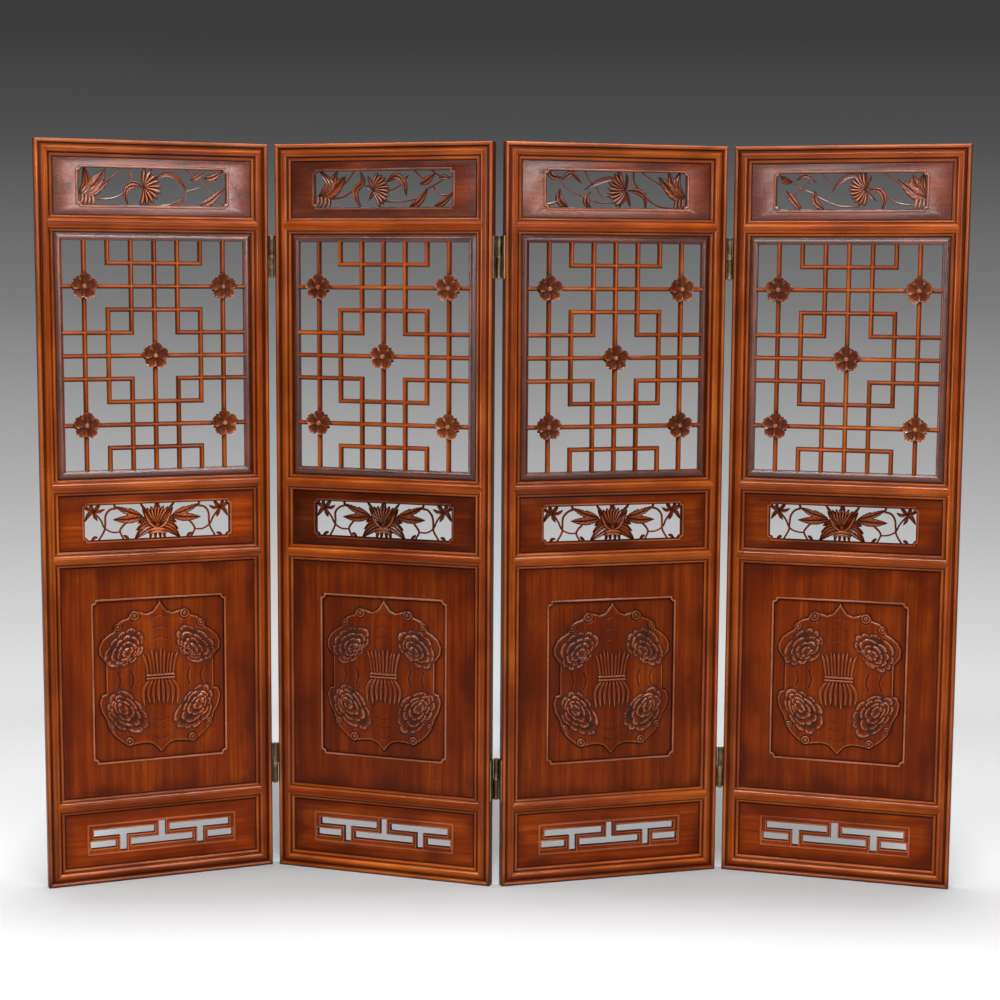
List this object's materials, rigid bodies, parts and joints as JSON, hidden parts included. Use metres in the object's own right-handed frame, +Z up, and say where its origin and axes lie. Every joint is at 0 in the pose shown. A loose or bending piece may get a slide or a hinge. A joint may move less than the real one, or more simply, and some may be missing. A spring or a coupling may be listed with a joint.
{
  "type": "folding screen",
  "caption": "Carved hardwood folding screen of hinged frame-and-panel leaves, with a stepped lattice, plum flowers, pierced lotus boards and a relief board, standing in a zigzag.",
  "frame": {"origin": "middle of the footprint, on the floor", "axes": "+X along the screen to the right as seen from the front, +Y from the front to the back, +Z up"},
  "size_m": [2.2056, 0.2358, 1.8],
  "materials": {
    "frame_wood": "satin lacquered reddish-brown hardwood",
    "carved_wood": "satin lacquered reddish-brown hardwood, darker in its hollows",
    "hinge_brass": "aged, dull brass"
  },
  "bodies": {
    "panel_1": {"left_stile_1": "frame_wood", "right_stile_1": "frame_wood", "top_rail_1": "frame_wood", "bottom_rail_1": "frame_wood", "middle_rails_1": "frame_wood", "top_carved_board_1": "carved_wood", "lattice_1": "carved_wood", "flowers_1": "carved_wood", "middle_carved_board_1": "carved_wood", "relief_board_1": "carved_wood", "key_fret_board_1": "carved_wood", "hinge_screws_1": "hinge_brass", "pin_leaves_12": "hinge_brass", "hinge_pins_12": "hinge_brass", "hinge_washers_12": "hinge_brass"},
    "panel_2": {"left_stile_2": "frame_wood", "right_stile_2": "frame_wood", "top_rail_2": "frame_wood", "bottom_rail_2": "frame_wood", "middle_rails_2": "frame_wood", "top_carved_board_2": "carved_wood", "lattice_2": "carved_wood", "flowers_2": "carved_wood", "middle_carved_board_2": "carved_wood", "relief_board_2": "carved_wood", "key_fret_board_2": "carved_wood", "hinge_screws_2": "hinge_brass", "socket_leaves_12": "hinge_brass", "pin_leaves_23": "hinge_brass", "hinge_pins_23": "hinge_brass", "hinge_washers_23": "hinge_brass"},
    "panel_3": {"left_stile_3": "frame_wood", "right_stile_3": "frame_wood", "top_rail_3": "frame_wood", "bottom_rail_3": "frame_wood", "middle_rails_3": "frame_wood", "top_carved_board_3": "carved_wood", "lattice_3": "carved_wood", "flowers_3": "carved_wood", "middle_carved_board_3": "carved_wood", "relief_board_3": "carved_wood", "key_fret_board_3": "carved_wood", "hinge_screws_3": "hinge_brass", "socket_leaves_23": "hinge_brass", "pin_leaves_34": "hinge_brass", "hinge_pins_34": "hinge_brass", "hinge_washers_34": "hinge_brass"},
    "panel_4": {"left_stile_4": "frame_wood", "right_stile_4": "frame_wood", "top_rail_4": "frame_wood", "bottom_rail_4": "frame_wood", "middle_rails_4": "frame_wood", "top_carved_board_4": "carved_wood", "lattice_4": "carved_wood", "flowers_4": "carved_wood", "middle_carved_board_4": "carved_wood", "relief_board_4": "carved_wood", "key_fret_board_4": "carved_wood", "hinge_screws_4": "hinge_brass", "socket_leaves_34": "hinge_brass"}
  },
  "joints": [
    {"name": "fold_12", "type": "hinge", "parent": "panel_2", "child": "panel_1", "pos_m": [-0.567, 0.09311, 0], "axis": [0, 0, 1], "range_deg": [-40.1, 139.9]},
    {"name": "fold_23", "type": "hinge", "parent": "panel_2", "child": "panel_3", "pos_m": [-0.01057, -0.05509, 0], "axis": [0, 0, 1], "range_deg": [-34, 146]},
    {"name": "fold_34", "type": "hinge", "parent": "panel_3", "child": "panel_4", "pos_m": [0.5507, 0.0736, 0], "axis": [0, 0, 1], "range_deg": [-147.7, 32.3]}
  ]
}
